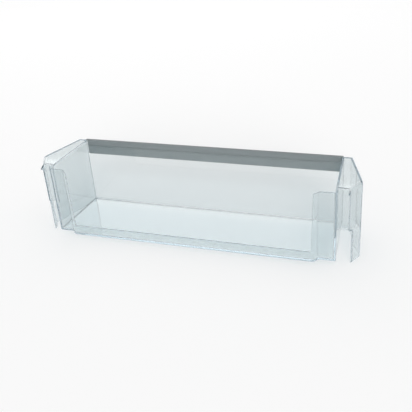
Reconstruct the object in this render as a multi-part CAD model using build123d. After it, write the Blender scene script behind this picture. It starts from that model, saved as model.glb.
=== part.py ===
from build123d import *
import os

# Clear moulded door shelf of a refrigerator, with a grey trim strip clipped over its front edge.
# Millimetres. +X is to the right seen from the door side, +Y points to the decorative front, +Z is up.
# The origin is at the middle of the footprint, on the plane of the wing bottoms that the shelf stands on.

# Overall sizes
overall_width = 480.0        # across the rear ends of the two wings
tray_depth = 107.0           # rear corners of the tray to the outer face of the front wall
front_height = 107.2         # underside of the floor to the top of the front wall
leg_drop = 7.5               # wing bottoms below the underside of the floor
wall = 2.4                   # thickness of every moulded wall
floor_thickness = 2.6

# Tray outline in plan
end_taper = 6.5              # each end wall leads this far in from the rear corner to the front wall
joggle_depth = 8.0           # the low middle of the rear wall stands this far behind the corners
joggle_run = 13.5            # length along X of each S-shaped step
corner_panel_width = 32.3    # rear corner panel, from the rear corner to its free edge at the lip
window_draft = 2.2           # each free edge leans out this much from the lip to the top of the panel
window_round = 2.0           # corners between the lip and the free edges
lip_height = 15.5            # low rear lip above the underside
corner_panel_height = 104.0  # rear corner panels above the underside
floor_fillet = 4.0           # inside radius between floor and front wall
foot_fillet = 1.0            # outside radius under the front wall
corner_radius = 1.5          # inside radius of the tray's other corners
corner_round = 1.2           # outside radius of the tray's other corners

# Double-walled ends
rim_height = 107.0           # top of the end walls and of their covers above the underside
wing_gap_front = 11.5        # wing outside the end wall where both meet the front wall
wing_rear_y = 32.0           # rear end of each wing, measured from the rear corners of the tray
flange_inset = 12.5          # the rear flange leads this far in from the wing, to the rear plate
plate_width = 16.0           # rear plate, from the flange to the tray's rear corner
plate_y = 7.5                # rear face of the rear plate, measured from the rear corners
cover_thickness = 2.4        # top cover of the pocket between end wall and wing
cover_round = 5.0            # radius from the cover down to the rear plate and flange
slot_height = 46.5           # top of the hook slot above the underside
slot_round = 6.0             # corner radius of the hook slot
slot_overcut = 2.5           # the slot reaches this far past the rear plate, into the flange
lug_reach = 6.0              # retaining lug, out from the rear plate
lug_height = 10.5            # height of its root
lug_tip_rise = 7.0           # tip above the lower end of the root
lug_top_gap = 2.0            # root below the rim

# Trim strip
trim_sheet = 1.0             # thickness of the strip
trim_outer_leg = 24.7        # decorative band outside the front wall, which shows through the wall
trim_inner_leg = 8.5         # shorter clip leg inside the shelf
trim_set_back = 1.0          # ends of the band and cap, in from the outer faces of the end walls
trim_fit = 0.15              # clearance of the legs on the wall
trim_end_gap = 0.3           # inner leg clear of the rounded corners at the end walls
trim_round = 0.4             # outer edges along the top and along the lower edge of the band

# Levels and places that follow from these sizes
underside = leg_drop
tray_width_rear = overall_width - 2 * (flange_inset + plate_width)
tray_width_front = tray_width_rear - 2 * end_taper
wing_width_front = tray_width_front + 2 * wing_gap_front
window_width = tray_width_rear - 2 * corner_panel_width
trim_width = tray_width_front - 2 * trim_set_back
clip_width = tray_width_front - 2 * (wall + corner_radius + trim_end_gap)
half_overall = overall_width / 2
half_rear = tray_width_rear / 2
half_front = tray_width_front / 2
half_wing_front = wing_width_front / 2
half_window = window_width / 2
trim_stand = trim_fit + trim_sheet
depth_total = joggle_depth + tray_depth + trim_stand
rear_y = joggle_depth - depth_total / 2      # plane of the tray's rear corners
front_y = rear_y + tray_depth                # outer face of the front wall
lip_y = rear_y - joggle_depth                # outer face of the low rear lip
rim_z = underside + rim_height
front_top = underside + front_height
REACH = 2 * overall_width                    # longer than anything it cuts through


def tray_outline(inset):
    """Plan of the tray moved inwards by inset: tapered ends, joggled rear wall, straight front wall."""
    slope = (half_rear - half_front) / tray_depth
    back = rear_y + inset
    front = front_y - inset
    side = inset * (1 + slope * slope) ** 0.5
    at_back = half_rear - slope * inset - side
    at_front = half_front + slope * inset - side
    lip = lip_y + inset
    step_in = half_window
    step_out = half_window + joggle_run
    mid_step = (step_in + step_out) / 2
    mid_y = (back + lip) / 2
    with BuildSketch() as plan:
        with BuildLine():
            Line((-at_front, front), (at_front, front))
            Line((at_front, front), (at_back, back))
            Line((at_back, back), (step_out, back))
            TangentArc((step_out, back), (mid_step, mid_y), tangent=(-1, 0))
            TangentArc((step_in, lip), (mid_step, mid_y), tangent=(1, 0))
            Line((step_in, lip), (-step_in, lip))
            TangentArc((-step_in, lip), (-mid_step, mid_y), tangent=(-1, 0))
            TangentArc((-step_out, back), (-mid_step, mid_y), tangent=(1, 0))
            Line((-step_out, back), (-at_back, back))
            Line((-at_back, back), (-at_front, front))
        make_face()
    return plan.sketch


def tray_block(inset, bottom, front_radius, radius):
    """Block on the plan moved inwards by inset: rounded under the front wall, and at its other corners."""
    block = extrude(Pos(0, 0, bottom) * tray_outline(inset), front_height)
    front_edge = block.edges().filter_by(Axis.X).group_by(Axis.Y)[-1].sort_by(Axis.Z)[0]
    block = fillet(front_edge, front_radius)
    below_top = [edge for edge in block.edges() if edge.center().Z < bottom + front_height - radius]
    at_ends = [edge for edge in below_top if abs(edge.center().X) > half_front - wall - radius]
    under_rear = [
        edge for edge in block.faces().sort_by(Axis.Z)[0].edges()
        if edge.center().Y < rear_y + inset + radius]
    return fillet(at_ends + under_rear, radius)


def make_window():
    """Cutter of the open rear above the lip: sides that lean outwards, and rounded lower corners."""
    lip_top = underside + lip_height
    panel_top = underside + corner_panel_height
    with BuildSketch(Plane.XZ) as side:
        with BuildLine():
            Polyline(
                (-half_window, lip_top),
                (half_window, lip_top),
                (half_window + window_draft, panel_top),
                (half_window + window_draft, REACH),
                (-half_window - window_draft, REACH),
                (-half_window - window_draft, panel_top),
                close=True)
        make_face()
        fillet(side.vertices().group_by(Axis.Y)[0], window_round)
    return Pos(0, lip_y, 0) * extrude(side.sketch, joggle_depth + floor_fillet, both=True)


def make_tray_body():
    """Floor, front wall, end walls, rear corner panels and low rear lip of the moulding."""
    outer = tray_block(0, underside, foot_fillet, corner_round)
    cavity = tray_block(wall, underside + floor_thickness, floor_fillet, corner_radius)
    body = outer - cavity
    rear_zone = Pos(0, lip_y, 0) * Box(REACH, 2 * (joggle_depth + floor_fillet), REACH)
    panel_top = Pos(0, 0, underside + corner_panel_height) * Box(
        2 * (half_rear - wall), REACH, REACH, align=(Align.CENTER, Align.CENTER, Align.MIN))
    end_top = Pos(0, front_y - wall, rim_z) * Box(
        REACH, REACH, REACH, align=(Align.CENTER, Align.MAX, Align.MIN))
    return body - make_window() - (panel_top & rear_zone) - end_top


def end_outline(inner_shift):
    """Plan of the right-hand pocket: end wall, rear plate, flange, wing and front wall."""
    slope = (half_rear - half_front) / tray_depth
    plate_x = half_rear - slope * plate_y
    with BuildSketch() as plan:
        with BuildLine():
            Polyline(
                (half_front - inner_shift, front_y),
                (half_wing_front, front_y),
                (half_overall, rear_y + wing_rear_y),
                (half_overall - flange_inset, rear_y + plate_y),
                (plate_x - inner_shift, rear_y + plate_y),
                close=True)
        make_face()
    return plan.sketch


def make_lug():
    """Retaining lug: a three-sided fin that stands out to the rear at the plate's upper outer corner."""
    root_y = rear_y + plate_y + wall
    tip_y = rear_y + plate_y - lug_reach
    top_z = rim_z - lug_top_gap
    low_z = top_z - lug_height
    with BuildSketch(Plane.YZ) as side:
        with BuildLine():
            Polyline((root_y, low_z), (root_y, top_z), (tip_y, low_z + lug_tip_rise), close=True)
        make_face()
    return Pos(half_overall - flange_inset, 0, 0) * extrude(side.sketch, -wall)


def make_slot():
    """Cutter of the hook slot: open below, reaching a little into the flange, with rounded upper corners."""
    slot_in = half_rear - wall
    slot_out = half_overall - flange_inset + slot_overcut
    slot_top = underside + slot_height
    with BuildSketch(Plane.XZ) as side:
        with BuildLine():
            Polyline((slot_in, 0), (slot_out, 0), (slot_out, slot_top), (slot_in, slot_top), close=True)
        make_face()
        fillet(side.vertices().group_by(Axis.Y)[-1], slot_round)
    return Pos(0, rear_y + wing_rear_y, 0) * extrude(side.sketch, wing_rear_y)


def make_right_end():
    """Pocket for the door boss: wing, flange, slotted rear plate, top cover and retaining lug."""
    shell = extrude(end_outline(0), rim_z)
    rear_top = [
        edge for edge in shell.faces().sort_by(Axis.Z)[-1].edges()
        if edge.center().Y < rear_y + wing_rear_y and edge.center().X > half_rear]
    shell = fillet(rear_top, cover_round)
    pocket = extrude(offset(end_outline(2 * wall), -wall, kind=Kind.INTERSECTION), rim_z - cover_thickness)
    shell = shell - pocket
    return shell - make_slot() + make_lug()


def make_tray():
    """The whole clear moulding: tray body with a pocketed end on each side."""
    right_end = make_right_end()
    left_end = mirror(right_end, about=Plane.YZ)
    return make_tray_body() + right_end + left_end


def make_trim_strip():
    """Channel clipped over the front wall: tall band outside, cap on top, short leg between the end walls."""
    inside = front_y - wall - trim_fit
    outside = front_y + trim_fit
    top = front_top + trim_sheet
    with BuildSketch(Plane.YZ) as section:
        with BuildLine():
            Polyline(
                (inside - trim_sheet, front_top),
                (inside - trim_sheet, top),
                (outside + trim_sheet, top),
                (outside + trim_sheet, top - trim_outer_leg),
                (outside, top - trim_outer_leg),
                (outside, front_top),
                close=True)
        make_face()
        outer_corners = section.vertices().group_by(Axis.Y)[-1] + section.vertices().group_by(Axis.Y)[0]
        fillet(outer_corners, trim_round)
    band = extrude(section.sketch, trim_width / 2, both=True)
    clip_leg = Pos(0, inside, front_top) * Box(
        clip_width, trim_sheet, trim_inner_leg - trim_sheet, align=(Align.CENTER, Align.MAX, Align.MAX))
    return band + clip_leg


os.makedirs("parts", exist_ok=True)
export_step(make_tray(), "parts/clear_tray.step")
export_step(make_trim_strip(), "parts/trim_strip.step")
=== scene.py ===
import math

import bmesh
import bpy
import numpy as np
from mathutils import Matrix, Vector


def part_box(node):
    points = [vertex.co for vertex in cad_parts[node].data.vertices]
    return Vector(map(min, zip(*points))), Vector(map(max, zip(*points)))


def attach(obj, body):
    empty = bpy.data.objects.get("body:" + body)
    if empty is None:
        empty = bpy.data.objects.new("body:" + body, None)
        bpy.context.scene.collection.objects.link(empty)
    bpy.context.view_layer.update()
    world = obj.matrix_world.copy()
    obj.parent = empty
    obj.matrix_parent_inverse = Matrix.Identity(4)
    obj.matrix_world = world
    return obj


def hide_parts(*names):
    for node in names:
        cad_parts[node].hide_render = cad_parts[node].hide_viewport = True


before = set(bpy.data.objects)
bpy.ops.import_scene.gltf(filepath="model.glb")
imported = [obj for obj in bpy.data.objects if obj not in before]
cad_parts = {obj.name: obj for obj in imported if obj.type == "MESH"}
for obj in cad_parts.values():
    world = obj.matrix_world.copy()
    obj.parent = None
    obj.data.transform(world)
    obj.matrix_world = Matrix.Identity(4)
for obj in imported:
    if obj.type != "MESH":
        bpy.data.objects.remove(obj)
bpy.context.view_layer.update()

# Door shelf of a refrigerator: a clear moulded tray, and a grey strip clipped over its front wall.
# It stands on its wing bottoms at Z = 0, open rear towards -Y, strip towards +Y. Metres throughout.

# Camera of the photograph
CAMERA_PLACE = (0.3143, -0.8037, 0.5070)
CAMERA_TURN = (61.68, 4.02, 18.43)      # degrees about X, Y and Z: tilt, roll and pan
CAMERA_LENS = 57.4                      # millimetres
SENSOR_WIDTH = 36.0                     # millimetres

# Clear polystyrene
CLEAR_TINT = (0.845, 0.88, 0.887)       # what one wall lets through
CLEAR_IOR = 1.57
CLEAR_ROUGHNESS = (0.015, 0.05)         # polished mould, and the haze left by handling
HAZE_SIZE = 0.012
HAZE_DETAIL = 3.0
FLOW_SIZE = 0.035                       # waves left by the melt as it filled the mould
FLOW_DETAIL = 2.0
FLOW_HEIGHT = 0.00002
LAMP_TINT = (0.88, 0.913, 0.923)        # what each face of a wall lets through of a lamp's light
EDGE_COLOUR = (0.575, 0.67, 0.725)      # deepens where light runs along a wall
EDGE_DENSITY = 13.0                     # absorption per metre

# Form of the moulding
WALL = 0.0024
FRONT_RISE = 0.0002                     # top of the front wall above the rim of the ends, inside the strip
RIM_TOP = round(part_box("clear_tray")[1][2] - FRONT_RISE, 6)
COVER_UNDERSIDE = RIM_TOP - WALL        # ceiling of the pocket in each end
COVER_REAR = -0.020                     # the ceiling's edges at the rear plate and flange lie behind this
COVER_ROUND = 0.0050                    # outside radius of the covers there
COVER_SEGMENTS = 6
TRAY_FLOOR = 0.0101                     # inner face of the tray's floor
EDGE_ROUND = 0.00035                    # broken edges

# Grey strip
STRIP_GREY = (0.15, 0.172, 0.177)
BAND_PAINTED_LIGHT_GREY = (0.212, 0.229, 0.229)    # painted light: the strip's grey made paler on the band's face behind the clear wall, for light that reaches it through the wall
BAND_PAINTED_LIGHT_PLACE = 1                       # place of that painted-light grey in the strip's list of finishes
STREAK_SHARE = 0.05                     # how far the drawn streaks go from the mean grey
STREAK_SIZE = (0.060, 0.0008, 0.0008)   # they run along the strip
STREAK_DETAIL = 2.0
GRAIN_SIZE = 0.0012
GRAIN_DETAIL = 3.0
GRAIN_HEIGHT = 0.00001
STRIP_ROUGHNESS = (0.44, 0.56)
STRIP_SHEET = 0.0010
BAND_REACH = 1.5 * STRIP_SHEET          # both faces of the band lie within this of the strip's front
STRIP_EDGE_ROUND = 0.00015

# Finishing of both meshes
WELD_DISTANCE = 0.000005
FLAT_ANGLE = 0.5                        # degrees, between triangles of one flat face
SHARP_ANGLE = 35.0                      # degrees, above which an edge is broken
EDGE_SEGMENTS = 3
TRUE_ARC = 0.5                          # profile of a bevel with a round section
FACING = 0.9                            # least share of a normal along an axis that its face looks along
NOISE_MIDDLE = (0.35, 0.65)             # where most values of a noise lie

# Studio
FLOOR_SIZE = 12.0
FLOOR_DROP = 0.0002
FLOOR_PALE = (0.97, 0.97, 0.97)
FLOOR_SEEN_WHITE = 0.12                 # share of plain white in the floor; the rest carries the shadow
CEILING_GREY = 0.9
CEILING_FADE = (0.2, 0.8)               # rise of a direction, from level at 0 to overhead at 1
AMBIENT = 0.59
SUN_LEVEL = 2.6
SUN_SPREAD = 32.0                       # degrees, as soft as a large box
SUN_TURN = (65.0, 0.0, 20.0)            # degrees: tilt from straight down, and pan
BOX_WIDTH = 2.2
BOX_HEIGHT = 0.8
BOX_DISTANCE = 2.5
BOX_GLOW = 0.9                          # beside 1 for the white studio
LIGHT_BOUNCES = 128                     # light that is trapped in a clear wall comes out at its edges


def principled(name):
    """A new material with one Principled BSDF; returns the material, its node tree and the shader."""
    material = bpy.data.materials.new(name)
    material.use_nodes = True
    tree = material.node_tree
    return material, tree, tree.nodes["Principled BSDF"]


def object_noise(tree, size, detail):
    """Noise in Object coordinates whose largest waves are about size metres long, along X, Y and Z."""
    place = tree.nodes.new("ShaderNodeTexCoord")
    stretch = tree.nodes.new("ShaderNodeMapping")
    stretch.inputs["Scale"].default_value = 1.0 / (np.ones(3) * size)
    noise = tree.nodes.new("ShaderNodeTexNoise")
    noise.inputs["Scale"].default_value = 1.0
    noise.inputs["Detail"].default_value = detail
    tree.links.new(place.outputs["Object"], stretch.inputs["Vector"])
    tree.links.new(stretch.outputs["Vector"], noise.inputs["Vector"])
    return noise.outputs["Fac"]


def remap(tree, value, taken, given, interpolation="LINEAR"):
    """Maps the range taken onto the range given, and holds the ends; returns the result's socket."""
    ramp = tree.nodes.new("ShaderNodeMapRange")
    ramp.interpolation_type = interpolation
    for socket, number in zip(("From Min", "From Max", "To Min", "To Max"), (*taken, *given)):
        ramp.inputs[socket].default_value = number
    tree.links.new(value, ramp.inputs["Value"])
    return ramp.outputs["Result"]


def bump_from(tree, noise, height, shader):
    """Bump of the given height in metres from a noise, into the shader's normal."""
    bump = tree.nodes.new("ShaderNodeBump")
    bump.inputs["Distance"].default_value = height
    tree.links.new(noise, bump.inputs["Height"])
    tree.links.new(bump.outputs["Normal"], shader.inputs["Normal"])


def clear_plastic():
    """Clear moulded plastic: faint cool tint, soft flow waves, light haze, edges that deepen in colour.

    A lamp's light passes straight through, dimmed at each face, so that the shelf casts a pale shadow.
    """
    material, tree, shader = principled("clear_plastic")
    shader.inputs["Base Color"].default_value = (*CLEAR_TINT, 1.0)
    shader.inputs["Transmission Weight"].default_value = 1.0
    shader.inputs["IOR"].default_value = CLEAR_IOR
    haze = object_noise(tree, HAZE_SIZE, HAZE_DETAIL)
    tree.links.new(remap(tree, haze, NOISE_MIDDLE, CLEAR_ROUGHNESS), shader.inputs["Roughness"])
    bump_from(tree, object_noise(tree, FLOW_SIZE, FLOW_DETAIL), FLOW_HEIGHT, shader)
    path = tree.nodes.new("ShaderNodeLightPath")
    lamp_way = tree.nodes.new("ShaderNodeBsdfTransparent")
    lamp_way.inputs["Color"].default_value = (*LAMP_TINT, 1.0)
    surface = shader.outputs["BSDF"]
    for ray in ("Is Diffuse Ray", "Is Shadow Ray"):
        mix = tree.nodes.new("ShaderNodeMixShader")
        tree.links.new(path.outputs[ray], mix.inputs["Fac"])
        tree.links.new(surface, mix.inputs[1])
        tree.links.new(lamp_way.outputs["BSDF"], mix.inputs[2])
        surface = mix.outputs["Shader"]
    out = tree.nodes["Material Output"]
    tree.links.new(surface, out.inputs["Surface"])
    absorb = tree.nodes.new("ShaderNodeVolumeAbsorption")
    absorb.inputs["Color"].default_value = (*EDGE_COLOUR, 1.0)
    absorb.inputs["Density"].default_value = EDGE_DENSITY
    tree.links.new(absorb.outputs["Volume"], out.inputs["Volume"])
    return material


def drawn_grey(name, grey):
    """Satin grey with faint streaks along the strip, in colour and in gloss, and a very fine grain."""
    material, tree, shader = principled(name)
    streaks = object_noise(tree, STREAK_SIZE, STREAK_DETAIL)
    shade = tree.nodes.new("ShaderNodeMix")
    shade.data_type = "RGBA"
    dark, pale = [socket for socket in shade.inputs if socket.type == "RGBA"]
    dark.default_value = (*((1 - STREAK_SHARE) * np.array(grey)), 1.0)
    pale.default_value = (*((1 + STREAK_SHARE) * np.array(grey)), 1.0)
    tree.links.new(remap(tree, streaks, NOISE_MIDDLE, (0.0, 1.0)), shade.inputs["Factor"])
    mixed = next(socket for socket in shade.outputs if socket.type == "RGBA")
    tree.links.new(mixed, shader.inputs["Base Color"])
    tree.links.new(remap(tree, streaks, NOISE_MIDDLE, STRIP_ROUGHNESS), shader.inputs["Roughness"])
    bump_from(tree, object_noise(tree, GRAIN_SIZE, GRAIN_DETAIL), GRAIN_HEIGHT, shader)
    return material


def level_rim(mesh):
    """Brings the front wall's top down to the rim: each height is the lesser of itself and RIM_TOP."""
    places = np.empty((len(mesh.vertices), 3), np.float32)
    mesh.vertices.foreach_get("co", places.ravel())
    places[:, 2] = np.minimum(places[:, 2], RIM_TOP)
    mesh.vertices.foreach_set("co", places.ravel())


def merged_shell(mesh):
    """Bmesh of a CAD mesh, with its loose triangles merged and those in one flat face joined."""
    shell = bmesh.new()
    shell.from_mesh(mesh)
    bmesh.ops.remove_doubles(shell, verts=shell.verts, dist=WELD_DISTANCE)
    bmesh.ops.dissolve_limit(
        shell, angle_limit=math.radians(FLAT_ANGLE), use_dissolve_boundaries=False,
        verts=shell.verts, edges=shell.edges)
    return shell


def tray_shell(mesh):
    """The tray with its rim levelled under the strip, and the inner edges of its covers rounded.

    These edges run along the rear plate and flange. Their radius is the outside radius less one wall,
    so that the moulding turns there at one thickness.
    """
    level_rim(mesh)
    shell = merged_shell(mesh)
    inner = []
    for edge in shell.edges:
        ends = np.array([corner.co for corner in edge.verts])
        level = np.abs(ends[:, 2] - COVER_UNDERSIDE).max() < WELD_DISTANCE
        if level and ends[:, 1].mean() < COVER_REAR:
            inner.append(edge)
    bmesh.ops.bevel(
        shell, geom=inner, offset=COVER_ROUND - WALL, offset_type="OFFSET",
        segments=COVER_SEGMENTS, profile=TRUE_ARC, affect="EDGES")
    return shell


def strip_shell(mesh):
    """The strip, with its second finish on the face of the band that lies against the clear wall: a paler
    copy of its grey, painted light that stands in for the light reaching that face through the wall.
    """
    shell = merged_shell(mesh)
    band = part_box("trim_strip")[1][1] - BAND_REACH
    # faces of the band against the clear wall get the paler grey: painted light, not a different surface
    for face in shell.faces:
        if face.normal.y < -FACING and face.calc_center_median().y > band:
            face.material_index = BAND_PAINTED_LIGHT_PLACE
    return shell


def weigh_edges(shell):
    """Smooth faces, and weight 1 on each sharp edge that is to be broken.

    Inner edges above the pockets' ceiling stay sharp: those where an end wall runs out into its cover,
    and those inside the strip.
    """
    weight = shell.edges.layers.float.new("bevel_weight_edge")
    above_ceiling = COVER_UNDERSIDE + WELD_DISTANCE
    for face in shell.faces:
        face.smooth = True
    for edge in shell.edges:
        sharp = edge.calc_face_angle(0.0) > math.radians(SHARP_ANGLE)
        kept = not edge.is_convex and min(corner.co.z for corner in edge.verts) > above_ceiling
        edge[weight] = float(sharp and not kept)
        edge.smooth = not (sharp and kept)


def finished_copy(node, name, finishes, edge_round, make_shell):
    """Finished copy of a CAD node: make_shell merges and details its mesh, then sharp edges are broken."""
    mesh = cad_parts[node].data.copy()
    mesh.name = name
    shell = make_shell(mesh)
    shell.normal_update()
    weigh_edges(shell)
    mesh.materials.clear()
    for finish in finishes:
        mesh.materials.append(finish)
    shell.to_mesh(mesh)
    shell.free()
    piece = bpy.data.objects.new(name, mesh)
    bpy.context.collection.objects.link(piece)
    bevel = piece.modifiers.new("broken_edges", "BEVEL")
    bevel.width = edge_round
    bevel.segments = EDGE_SEGMENTS
    bevel.limit_method = "WEIGHT"
    bevel.use_clamp_overlap = False
    seams = piece.modifiers.new("closed_seams", "WELD")
    seams.merge_threshold = WELD_DISTANCE
    even = piece.modifiers.new("even_shading", "WEIGHTED_NORMAL")
    even.keep_sharp = True
    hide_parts(node)
    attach(piece, "root")


def math_node(tree, operation, first, second):
    """A Math node on two sockets or numbers; returns its output."""
    node = tree.nodes.new("ShaderNodeMath")
    node.operation = operation
    for value, socket in zip((first, second), node.inputs):
        if isinstance(value, bpy.types.NodeSocket):
            tree.links.new(value, socket)
        else:
            socket.default_value = value
    return node.outputs[0]


def seen_share(tree):
    """1 for camera, glossy and transmission rays, which see the white studio; 0 for light on the object.

    Returns the ray kinds and that share.
    """
    path = tree.nodes.new("ShaderNodeLightPath").outputs
    through_plastic = math_node(tree, "MAXIMUM", path["Is Glossy Ray"], path["Is Transmission Ray"])
    return path, math_node(tree, "MAXIMUM", path["Is Camera Ray"], through_plastic)


def pale_floor():
    """Plain pale floor, with a little plain white where it is seen, and the object's shadow in the rest."""
    corners = np.array([[-1, -1, 0], [1, -1, 0], [1, 1, 0], [-1, 1, 0]]) * FLOOR_SIZE / 2
    corners[:, 2] = -FLOOR_DROP
    mesh = bpy.data.meshes.new("floor")
    mesh.from_pydata(corners.tolist(), [], [(0, 1, 2, 3)])
    floor = bpy.data.objects.new("floor", mesh)
    bpy.context.collection.objects.link(floor)
    material, tree, shader = principled("pale_floor")
    tree.nodes.remove(shader)
    matte = tree.nodes.new("ShaderNodeBsdfDiffuse")
    matte.inputs["Color"].default_value = (*FLOOR_PALE, 1.0)
    white = tree.nodes.new("ShaderNodeEmission")
    _, seen = seen_share(tree)
    mix = tree.nodes.new("ShaderNodeMixShader")
    tree.links.new(math_node(tree, "MULTIPLY", seen, FLOOR_SEEN_WHITE), mix.inputs["Fac"])
    tree.links.new(matte.outputs["BSDF"], mix.inputs[1])
    tree.links.new(white.outputs["Emission"], mix.inputs[2])
    tree.links.new(mix.outputs["Shader"], tree.nodes["Material Output"].inputs["Surface"])
    mesh.materials.append(material)


def studio_world():
    """White to the camera; reflections and refractions see white that turns grey overhead; dim as light."""
    world = bpy.data.worlds.new("studio")
    bpy.context.scene.world = world
    world.use_nodes = True
    tree = world.node_tree
    place = tree.nodes.new("ShaderNodeTexCoord")
    split = tree.nodes.new("ShaderNodeSeparateXYZ")
    tree.links.new(place.outputs["Generated"], split.inputs["Vector"])
    ceiling = remap(tree, split.outputs["Z"], CEILING_FADE, (1.0, CEILING_GREY), "SMOOTHSTEP")
    path, seen = seen_share(tree)
    level = tree.nodes.new("ShaderNodeMix")
    level.data_type = "FLOAT"
    level.inputs["A"].default_value = AMBIENT
    tree.links.new(math_node(tree, "MAXIMUM", ceiling, path["Is Camera Ray"]), level.inputs["B"])
    tree.links.new(seen, level.inputs["Factor"])
    tree.links.new(level.outputs["Result"], tree.nodes["Background"].inputs["Color"])


def soft_sun():
    """Soft light from the camera's side: the shadow falls behind the shelf.

    It is hidden from mirrored and refracted rays, so that no clear face shows it as a white blot.
    """
    lamp = bpy.data.lights.new("key", "SUN")
    lamp.energy = SUN_LEVEL
    lamp.angle = math.radians(SUN_SPREAD)
    holder = bpy.data.objects.new("key", lamp)
    bpy.context.collection.objects.link(holder)
    holder.rotation_euler = [math.radians(turn) for turn in SUN_TURN]
    holder.visible_glossy = False
    holder.visible_transmission = False


def back_box():
    """Softbox behind the shelf, just where the camera sees it mirrored in the tray's floor.

    Each end of its lower edge is found by a ray from the camera to the foot of the front wall,
    turned upwards there. Its energy is the glow times pi times its area.
    """
    low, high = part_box("trim_strip")
    eye = Vector(CAMERA_PLACE)
    ends = []
    for x in (low[0], high[0]):
        foot = Vector((x, low[1], TRAY_FLOOR))
        ray = (foot - eye).normalized()
        ends.append(foot + Vector((ray.x, ray.y, -ray.z)) * BOX_DISTANCE)
    middle = (ends[0] + ends[1]) / 2
    across = (ends[1] - ends[0]).normalized()
    up = across.cross(middle).normalized()
    lamp = bpy.data.lights.new("back_box", "AREA")
    lamp.shape = "RECTANGLE"
    lamp.size = BOX_WIDTH
    lamp.size_y = BOX_HEIGHT
    lamp.energy = BOX_GLOW * math.pi * BOX_WIDTH * BOX_HEIGHT
    holder = bpy.data.objects.new("back_box", lamp)
    bpy.context.collection.objects.link(holder)
    holder.location = middle + up * BOX_HEIGHT / 2
    holder.rotation_euler = Matrix((-across, up, up.cross(across))).transposed().to_euler()


def light_paths():
    """Enough bounces for light inside the clear walls."""
    cycles = bpy.context.scene.cycles
    cycles.max_bounces = LIGHT_BOUNCES
    cycles.glossy_bounces = LIGHT_BOUNCES
    cycles.transmission_bounces = LIGHT_BOUNCES


def camera():
    """The photograph's camera."""
    lens = bpy.data.cameras.new("camera")
    lens.lens = CAMERA_LENS
    lens.sensor_width = SENSOR_WIDTH
    holder = bpy.data.objects.new("camera", lens)
    bpy.context.collection.objects.link(holder)
    holder.location = CAMERA_PLACE
    holder.rotation_euler = [math.radians(turn) for turn in CAMERA_TURN]
    bpy.context.scene.camera = holder


tray_finishes = [clear_plastic()]
# the second grey is painted light: a paler copy of the strip grey for the band's face behind the clear wall
strip_finishes = [drawn_grey("trim_grey", STRIP_GREY), drawn_grey("trim_band_painted_light", BAND_PAINTED_LIGHT_GREY)]
finished_copy("clear_tray", "moulded_tray", tray_finishes, EDGE_ROUND, tray_shell)
finished_copy("trim_strip", "grey_strip", strip_finishes, STRIP_EDGE_ROUND, strip_shell)
pale_floor()
studio_world()
soft_sun()
back_box()
camera()
light_paths()
bpy.context.scene.view_settings.view_transform = "Standard"
